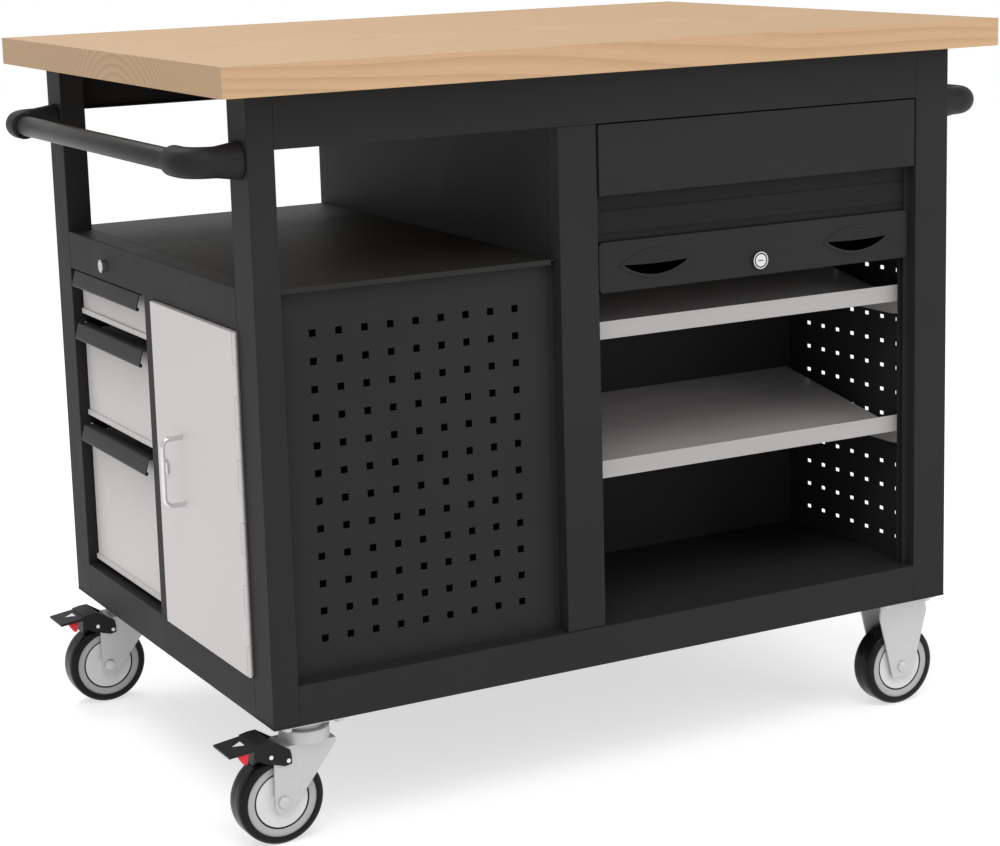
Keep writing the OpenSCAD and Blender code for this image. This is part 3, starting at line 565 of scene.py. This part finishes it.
# Turned profiles: (distance along the axle, radius) pairs.
TYRE = [(-20, 51), (-20, 55.2), (-19.4, 58.0), (-18.0, 60.4), (-15.6, 61.9), (-12.5, 62.5),
        (-0.6, 62.5), (-0.3, 62.46), (0.3, 62.46), (0.6, 62.5), (12.5, 62.5), (15.6, 61.9),
        (18.0, 60.4), (19.4, 58.0), (20, 55.2), (20, 51), (-20, 51)]
RING = [(-18, 40.4), (-18.3, 41.0), (-18.3, 50.2), (-18, 50.95), (18, 50.95), (18.3, 50.2),
        (18.3, 41.0), (18, 40.4), (-18, 40.4)]
LINE = [(-17.4, 38.0), (-17.4, 40.6), (17.4, 40.6), (17.4, 38.0), (-17.4, 38.0)]
DISC = [(-17.5, 37.9), (-17.8, 37.4), (-17.6, 24.0), (-17.2, 15.6), (-18.0, 14.2),
        (-20.6, 13.9), (-21.0, 13.4), (-21.0, 5.05), (21.0, 5.05), (21.0, 13.4),
        (20.6, 13.9), (18.0, 14.2), (17.2, 15.6), (17.6, 24.0), (17.8, 37.4),
        (17.5, 37.9), (-17.5, 37.9)]
AXLE = [(-28.0, 0), (-28.0, 6.8), (-27.5, 8.1), (-26.2, 8.9), (-25.05, 9.0), (-25.05, 5.0),
        (25.05, 5.0), (25.05, 9.0), (26.2, 8.9), (27.5, 8.1), (28.0, 6.8), (28.0, 0)]


def wheel(body, x, y, hub_node, tyre_node):
    """Tyre, light ring, dark joint line and hub disc of one wheel."""
    centre = at(x, y, AXLE_Z)
    finished("tyre_of_" + body, turned(TYRE, centre, ALONG_Y, 96), rubber, body,
             (tyre_node,), 50)
    finished("ring_of_" + body, turned(RING, centre, ALONG_Y, 80), ring_plastic, body,
             (hub_node,), 50)
    finished("line_of_" + body, turned(LINE, centre, ALONG_Y, 80), key_slot, body,
             (hub_node,), 50)
    finished("disc_of_" + body, turned(DISC, centre, ALONG_Y, 80), hub_plastic, body,
             (hub_node,), 30)


for end, y in ENDS:
    wheel(f"swivel_wheel_{end}", SWIVEL_X, y, f"hub_{end}", f"tyre_{end}")
    axle = turned(AXLE, at(SWIVEL_X, y, AXLE_Z), ALONG_Y, 40)
    finished(f"axle_of_swivel_wheel_{end}", axle, zinc, f"swivel_{end}",
             (f"axle_{end}",), 30)
    wheel(f"fixed_wheel_{end}", FIXED_X, y, f"fixed_hub_{end}", f"fixed_tyre_{end}")
both = [turned(AXLE, at(FIXED_X, y, AXLE_Z), ALONG_Y, 40) for end, y in ENDS]
finished("fixed_axle_caps", joined(both), zinc, "frame", ("fixed_axles",), 30)

TAB_SIDE = ((-44.3, -33.2), (-27.7, -31.2), (-30.7, -47.3), (-35.3, -47.3))
TAB_NEAR, TAB_WIDE = -26.2, 12.4
MARK_R, MARK_THICK = 9.5, 0.4
PEDAL_SLOPE = math.radians(-7.5)


def triangle_mark(y):
    """A thin raised triangle on the sloping top of a pedal."""
    mark = bmesh.new()
    bmesh.ops.create_circle(mark, cap_ends=True, segments=3, radius=MARK_R * MM)
    bmesh.ops.rotate(mark, cent=(0, 0, 0), verts=mark.verts,
                     matrix=Matrix.Rotation(math.radians(90), 3, "Z"))
    pushed_out(mark, (0, 0, MARK_THICK * MM))
    bmesh.ops.rotate(mark, cent=(0, 0, 0), verts=mark.verts,
                     matrix=Matrix.Rotation(PEDAL_SLOPE, 3, "Y"))
    bmesh.ops.translate(mark, vec=at(-31.5, y, -27.2), verts=mark.verts)
    return mark


for end, y in ENDS:
    eased(f"brake_pedal_{end}", pedal_black, 0.5)
    tab = bmesh.new()
    tab.faces.new([tab.verts.new(at(x, y + TAB_NEAR, z)) for x, z in TAB_SIDE])
    pushed_out(tab, (0, TAB_WIDE * MM, 0))
    round_edges(tab, tab.edges, 0.7)
    finished(f"release_tab_{end}", tab, red_plastic, f"pedal_{end}")
    finished(f"pedal_mark_{end}", triangle_mark(y), white_mark, f"pedal_{end}")
    pins = [turned([(0, 0), (0, 3.0), (0.8, 2.8), (1.2, 1.8), (1.2, 0)],
                   at(px, y + s * 28.0, pz), (0, s, 0), 24)
            for s in (-1, 1) for px, pz in ((28, -53), (3, -44))]
    finished(f"pedal_pins_{end}", joined(pins), white_mark, f"pedal_{end}")

# ---------- shutter: slats, shell grips and lock ----------

SLAT = 35.0
GROOVE_Z = 615.0
GROOVE_HALF = 1.8
THINNEST_SLAT = 3.0


def slats_over(low, high):
    """A backing sheet with slats on its front, parted by grooves a slat's pitch apart."""
    made = [block((low.x, low.y + 1.3, low.z), high)]
    z = low.z + 0.5
    groove = GROOVE_Z + SLAT * math.ceil((z - GROOVE_Z + 2.0) / SLAT)
    while z < high.z - THINNEST_SLAT:
        top = min(groove - GROOVE_HALF, high.z - 0.5)
        if top - z > THINNEST_SLAT:
            made.append(eased_block((low.x + 0.3, low.y, z),
                                    (high.x - 0.3, low.y + 1.6, top), 0.7))
        z = groove + GROOVE_HALF
        groove += SLAT
    return joined(made)


# The slats take the darker copy of the black coat: painted shade.
for k, body in ((1, "shutter"), (2, "curtain_2"), (3, "curtain_3")):
    low, high = ((corner - CORNER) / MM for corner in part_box(f"shutter_leaf_{k}"))
    finished(f"slats_{k}", slats_over(low, high), shaded_slat_coat, body,
             (f"shutter_leaf_{k}",), 18)

# The grips' outline is an eye: two arcs of one radius, EYE_DROP being how far each
# arc's centre lies beyond the eye's own level.
BAR_Y = 12.0
MIDDLE = 792.0
GRIP_APART = 175.0
EYE_Z = 569.5
EYE_WIDE, EYE_TALL = 123.0, 43.0
EYE_R = (EYE_WIDE ** 2 + EYE_TALL ** 2) / (4 * EYE_TALL)
EYE_DROP = EYE_R - EYE_TALL / 2
FLAP_INSET = 4.4
ARC_STEPS = 24


def half_width(radius):
    return math.sqrt(radius * radius - EYE_DROP * EYE_DROP)


def arc_height(radius, u):
    return math.sqrt(radius * radius - u * u) - EYE_DROP


def eye_ring(x, y, inset):
    """Places round an eye outline: the lower arc and then the upper one."""
    radius = EYE_R - inset
    half = half_width(radius)
    steps = [-half + 2 * half * k / ARC_STEPS for k in range(ARC_STEPS)]
    spots = [(u, -arc_height(radius, u)) for u in steps]
    spots += [(-u, arc_height(radius, u)) for u in steps]
    return [at(x + u, y, EYE_Z + v) for u, v in spots]


def flap_ring(x, y, lower, shrink):
    """Places round the flap that covers the upper half of the eye."""
    radius = EYE_R - FLAP_INSET
    half = half_width(radius)
    ring = []
    for k in range(ARC_STEPS + 1):
        u = -half + 2 * half * k / ARC_STEPS
        ring.append((u * shrink, lower - 1.6 * (1 - (u / half) ** 2) + 1.0))
    for k in range(1, ARC_STEPS):
        u = half - 2 * half * k / ARC_STEPS
        ring.append((u * shrink, arc_height(radius, u) * shrink + 0.02 + lower * 0.2))
    return [at(x + u, y, EYE_Z + v) for u, v in ring]


# The rim and dish are (depth behind the bar's face, inset) pairs, and the flap's rings
# are (depth, rise of the lower edge, shrink).
DISH = ((1.2, 3.9), (-0.05, 3.9), (-0.05, 0.2), (-0.9, 0.2), (-1.15, 0.8), (-1.1, 3.4),
        (-0.8, 4.6), (0.3, 5.8), (1.9, 8.4), (3.0, 12.0), (3.4, 15.5))
FLAP = ((1.6, 0.6, 1.0), (-0.4, 0.0, 1.0), (-0.95, 0.7, 0.985))
RIB_STEP, RIB_HALF = 7.0, 1.3

shells = []
for x in (MIDDLE - GRIP_APART, MIDDLE + GRIP_APART):
    shells.append(lofted([eye_ring(x, BAR_Y + depth, inset) for depth, inset in DISH],
                         closed_start=False))
    shells.append(lofted([flap_ring(x, BAR_Y + depth, lower, shrink)
                          for depth, lower, shrink in FLAP]))
    for k in (-1.5, -0.5, 0.5, 1.5):
        rib = x + k * RIB_STEP
        shells.append(eased_block((rib - RIB_HALF, BAR_Y - 1.15, EYE_Z + 2.5),
                                  (rib + RIB_HALF, BAR_Y - 0.2, EYE_Z + 13.5), 0.3))
finished("shell_grips", joined(shells), shell_black, "shutter",
         ("shutter_shell_grips",), 30)


def lock_head(name, body, centre, way, radius, proud, slot_way):
    """Polished lock: stepped rim, sunk face, plug and key slot. Its face looks along way."""
    rim = [(-proud, 0), (-proud, radius - 0.9), (-proud * 0.55, radius - 0.1),
           (-proud * 0.3, radius), (-0.7, radius - 0.3), (0.0, radius - 1.6),
           (0.0, radius * 0.72), (-0.9, radius * 0.66), (-0.9, radius * 0.5),
           (-0.3, radius * 0.47), (-0.2, radius * 0.2), (-0.2, 0)]
    finished(name, turned(rim, centre, way, 64), chrome, body, smooth=25)
    way = Vector(way)
    slot_way = Vector(slot_way)
    # The key slot is a thin near-black box on the plug face: painted shade in place of a cut
    # slot.
    size = slot_way * radius * 0.72 + way.cross(slot_way) * 1.3 + way * 0.5
    key = bmesh.new()
    bmesh.ops.create_cube(key, size=1.0)
    bmesh.ops.scale(key, vec=[abs(length) * MM for length in size], verts=key.verts)
    bmesh.ops.translate(key, vec=centre + way * 0.02 * MM, verts=key.verts)
    finished(name + "_slot", key, key_slot, body)


lock_head("shutter_lock_head", "shutter_key_lock",
          at(MIDDLE, BAR_Y - 6.0, 556.0), (0, -1, 0), 12.5, 5.5, (1, 0, 0))
lock_head("door_lock_head", "door_key_lock",
          at(-9.5, 338.0, 294.0), (-1, 0, 0), 10.0, 3.0, (0, 0, 1))
lock_head("central_lock_head", "central_key_lock",
          at(-7.5, 572.5, 556.0), (-1, 0, 0), 9.5, 6.9, (0, 0, 1))

# ---------- door bow handle ----------

BOW_Y, BOW_Z = 268.0, 304.0
BOW_X = -37.0
BOW_HALF = 48.0
BOW_R = 3.4
BOW_BEND = 12.0
BOW_STEPS = 8


def bow_rings():
    """Rings from the lower foot round the bow to the upper foot."""
    spots = [(-6.02, -BOW_HALF, (-1, 0), 3.9), (-6.6, -BOW_HALF, (-1, 0), BOW_R),
             (BOW_X + BOW_BEND, -BOW_HALF, (-1, 0), BOW_R)]
    for k in range(1, BOW_STEPS + 1):
        t = math.radians(90 * k / BOW_STEPS)
        spots.append((BOW_X + BOW_BEND - BOW_BEND * math.sin(t),
                      -BOW_HALF + BOW_BEND - BOW_BEND * math.cos(t),
                      (-math.cos(t), math.sin(t)), BOW_R))
    upper = [(x, -z, (-way_x, way_z), r) for x, z, (way_x, way_z), r in reversed(spots)]
    spots += [(BOW_X, 0.0, (0, 1), BOW_R)] + upper
    return [ring_of(at(x, BOW_Y, BOW_Z + z), (way_x, 0, way_z), r, 32, first=ALONG_Y)
            for x, z, (way_x, way_z), r in spots]


finished("bow_handle", lofted(bow_rings()), chrome, "door",
         ("door_bow_handle",), 40)

# ---------- stage, light and camera ----------

camera_data = bpy.data.cameras.new("camera")
camera = bpy.data.objects.new("camera", camera_data)
bpy.context.scene.collection.objects.link(camera)
bpy.context.scene.camera = camera
FRAME_WIDE = 1000.0
FRAME_TALL = 846.0
FOCAL = 2387.5
VIEW_X, VIEW_Y = 498.83, 349.95
SENSOR = 36.0
YAW, PITCH, ROLL = math.radians(28.3338), math.radians(10.9066), math.radians(-1.597)
forward = Vector((math.sin(YAW) * math.cos(PITCH), math.cos(YAW) * math.cos(PITCH),
                  -math.sin(PITCH)))
right = Vector((math.cos(YAW), -math.sin(YAW), 0))
up = right.cross(forward)
right, up = (right * math.cos(ROLL) + up * math.sin(ROLL),
             up * math.cos(ROLL) - right * math.sin(ROLL))
turn = Matrix((right, up, -forward)).transposed()
camera.matrix_world = Matrix.Translation(at(-1159.6, -2809.3, 1091.1)) @ turn.to_4x4()
camera_data.sensor_width = SENSOR
camera_data.lens = FOCAL * SENSOR / FRAME_WIDE
camera_data.shift_x = (FRAME_WIDE / 2 - VIEW_X) / FRAME_WIDE
camera_data.shift_y = (VIEW_Y - FRAME_TALL / 2) / FRAME_WIDE
camera_data.clip_end = 100.0

bpy.context.scene.view_settings.view_transform = "Standard"
bpy.context.scene.view_settings.look = "None"

floor_mesh = bpy.data.meshes.new("floor")
bm = bmesh.new()
bmesh.ops.create_grid(bm, x_segments=1, y_segments=1, size=30.0)
bm.to_mesh(floor_mesh)
bm.free()
floor = bpy.data.objects.new("floor", floor_mesh)
bpy.context.scene.collection.objects.link(floor)
pale = Finish("pale_floor", Roughness=0.8, Specular_IOR_Level=0.1,
              Emission_Color=(1.0, 1.0, 1.0, 1.0), Emission_Strength=0.62)
pale.shade(pale.blend(pale.noise(0.8, 2.0, 0.5), (0.50, 0.50, 0.50), (0.52, 0.52, 0.52)))
floor_mesh.materials.append(pale.material)

world = bpy.data.worlds.new("studio")
bpy.context.scene.world = world
world.use_nodes = True
sky = world.node_tree.nodes["Background"]
sky.inputs["Color"].default_value = (1.0, 1.0, 1.0, 1.0)
sky.inputs["Strength"].default_value = 0.72


def softbox(name, place, aim, size, power):
    """A rectangular soft light at a place in metres, aimed at a point."""
    data = bpy.data.lights.new(name, "AREA")
    data.shape = "RECTANGLE"
    data.size, data.size_y = size
    data.energy = power
    lamp = bpy.data.objects.new(name, data)
    bpy.context.scene.collection.objects.link(lamp)
    lamp.location = place
    way = Vector(aim) - Vector(place)
    lamp.rotation_euler = way.to_track_quat("-Z", "Y").to_euler()


softbox("key", (-1.2, -2.6, 4.2), (0.1, 0.0, 0.6), (2.8, 2.2), 88.0)
softbox("fill", (2.6, -3.2, 1.8), (0.3, 0.0, 0.5), (2.2, 1.8), 34.0)
softbox("back", (-0.4, 2.4, 4.0), (0.0, 0.0, 0.9), (3.0, 1.8), 70.0)
